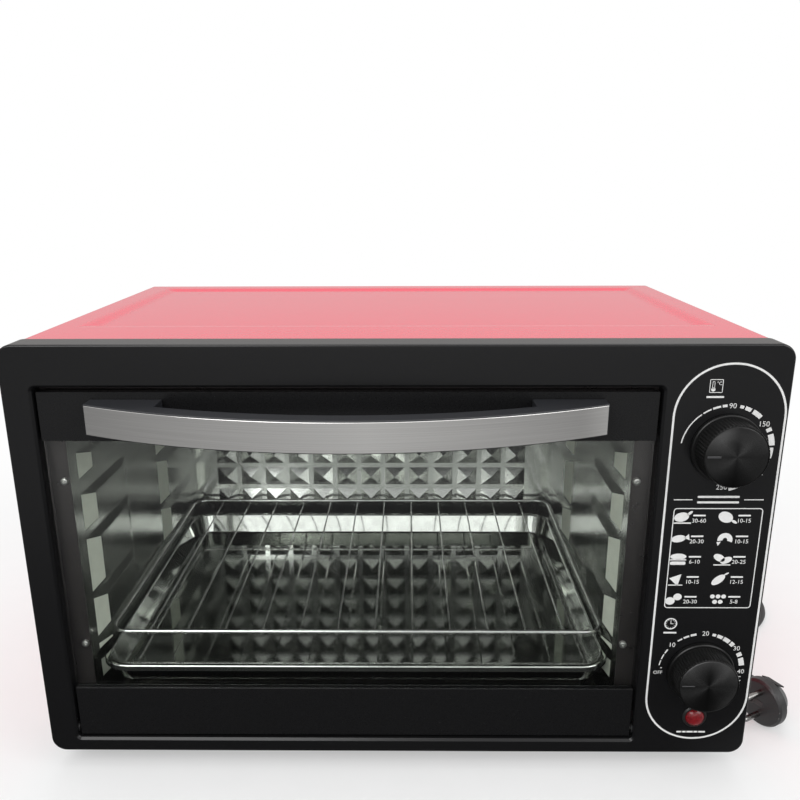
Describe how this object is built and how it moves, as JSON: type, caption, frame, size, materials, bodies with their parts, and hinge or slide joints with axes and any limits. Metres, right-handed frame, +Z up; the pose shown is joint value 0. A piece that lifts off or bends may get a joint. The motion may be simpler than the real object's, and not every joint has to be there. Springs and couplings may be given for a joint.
{
  "type": "countertop oven",
  "caption": "Countertop electric oven: red cover, black front, drop-down glass door with bowed handle, temperature and timer knobs, wire rack, baking tray, mains cord.",
  "frame": {"origin": "on the table, under the middle of the box from the handle's front to the back screws", "axes": "+X to the right of someone facing the door, +Y from the door to the back, +Z up"},
  "size_m": [0.605, 0.4579, 0.31],
  "materials": {
    "frame_black": "satin moulded black",
    "cover_red": "glossy red enamel",
    "zinc_sheet": "zinc plated sheet",
    "foot_black": "moulded",
    "screw_steel": "bright plated",
    "back_black": "semi gloss",
    "cavity_steel": "bright aluminised",
    "rod_steel": "dull sheathed",
    "ceramic": "glazed ceramic",
    "control_case": "moulded phenolic",
    "shaft_brass": "turned",
    "knob_black": "ribbed side",
    "knob_face": "spun black",
    "lens_red": "clear red",
    "bulb_glass": "clear",
    "terminal_cream": "moulded",
    "lead_white": "sleeved",
    "door_glass": "polished, faintly green",
    "door_black": "satin",
    "handle_black": "moulded",
    "handle_steel": "brushed lengthways",
    "rack_chrome": "bright",
    "tray_enamel": "glossy grey enamel",
    "cord_black": "round sheathed",
    "plug_black": "moulded",
    "pin_nickel": "nickel plated"
  },
  "bodies": {
    "cabinet": {"front_frame": "frame_black", "outer_cover": "cover_red", "base_plate": "zinc_sheet", "feet": "foot_black", "foot_screws": "screw_steel", "back_panel": "back_black", "back_screws": "screw_steel", "side_screws": "screw_steel", "cavity_left_wall": "cavity_steel", "cavity_right_wall": "cavity_steel", "cavity_roof": "cavity_steel", "cavity_floor": "cavity_steel", "cavity_back_wall": "cavity_steel", "cavity_flange": "cavity_steel", "window_screws": "screw_steel", "heating_rod_top_front": "rod_steel", "heating_rod_top_rear": "rod_steel", "heating_rod_bottom_front": "rod_steel", "heating_rod_bottom_rear": "rod_steel", "rod_bushes": "ceramic", "rod_terminals": "screw_steel", "control_bracket": "zinc_sheet", "thermostat_body": "control_case", "timer_body": "control_case", "timer_bell": "screw_steel", "lamp_holder": "foot_black", "lamp_lens": "lens_red", "neon_bulb": "bulb_glass", "lamp_socket": "ceramic", "terminal_block": "terminal_cream", "inner_leads": "lead_white", "hinge_bushes": "foot_black", "power_cord": "cord_black", "strain_relief": "cord_black", "plug_body": "plug_black", "plug_pins": "pin_nickel", "plug_earth_clips": "pin_nickel"},
    "door": {"door_glass": "door_glass", "door_top_trim": "door_black", "door_bottom_trim": "door_black", "hinge_pins": "screw_steel", "handle_screws": "screw_steel", "handle_bar": "handle_black", "handle_face": "handle_steel"},
    "temp_dial": {"temp_knob": "knob_black", "temp_knob_cap": "knob_face", "thermostat_shaft": "shaft_brass"},
    "time_dial": {"time_knob": "knob_black", "time_knob_cap": "knob_face", "timer_shaft": "shaft_brass"},
    "rack": {"wire_rack": "rack_chrome"},
    "tray": {"baking_tray": "tray_enamel"}
  },
  "joints": [
    {"name": "door_hinge", "type": "hinge", "parent": "cabinet", "child": "door", "pos_m": [-0.0295, -0.12025, 0.0315], "axis": [1, 0, 0], "range_deg": [0, 84]},
    {"name": "temp_knob_turn", "type": "hinge", "parent": "cabinet", "child": "temp_dial", "pos_m": [0.2083, -0.126, 0.2435], "axis": [0, 1, 0], "range_deg": [0, 270]},
    {"name": "time_knob_turn", "type": "hinge", "parent": "cabinet", "child": "time_dial", "pos_m": [0.2083, -0.126, 0.082], "axis": [0, 1, 0], "range_deg": [0, 270]},
    {"name": "rack_slide", "type": "slide", "parent": "cabinet", "child": "rack", "axis": [0, -1, 0], "range_m": [0, 0.1335]},
    {"name": "tray_slide", "type": "slide", "parent": "cabinet", "child": "tray", "axis": [0, -1, 0], "range_m": [0, 0.06]}
  ],
  "couplings": [
    {"joint": "rack_slide", "follows": "door_hinge", "m_per_rad": 0.09},
    {"joint": "tray_slide", "follows": "door_hinge", "m_per_rad": 0.04}
  ]
}
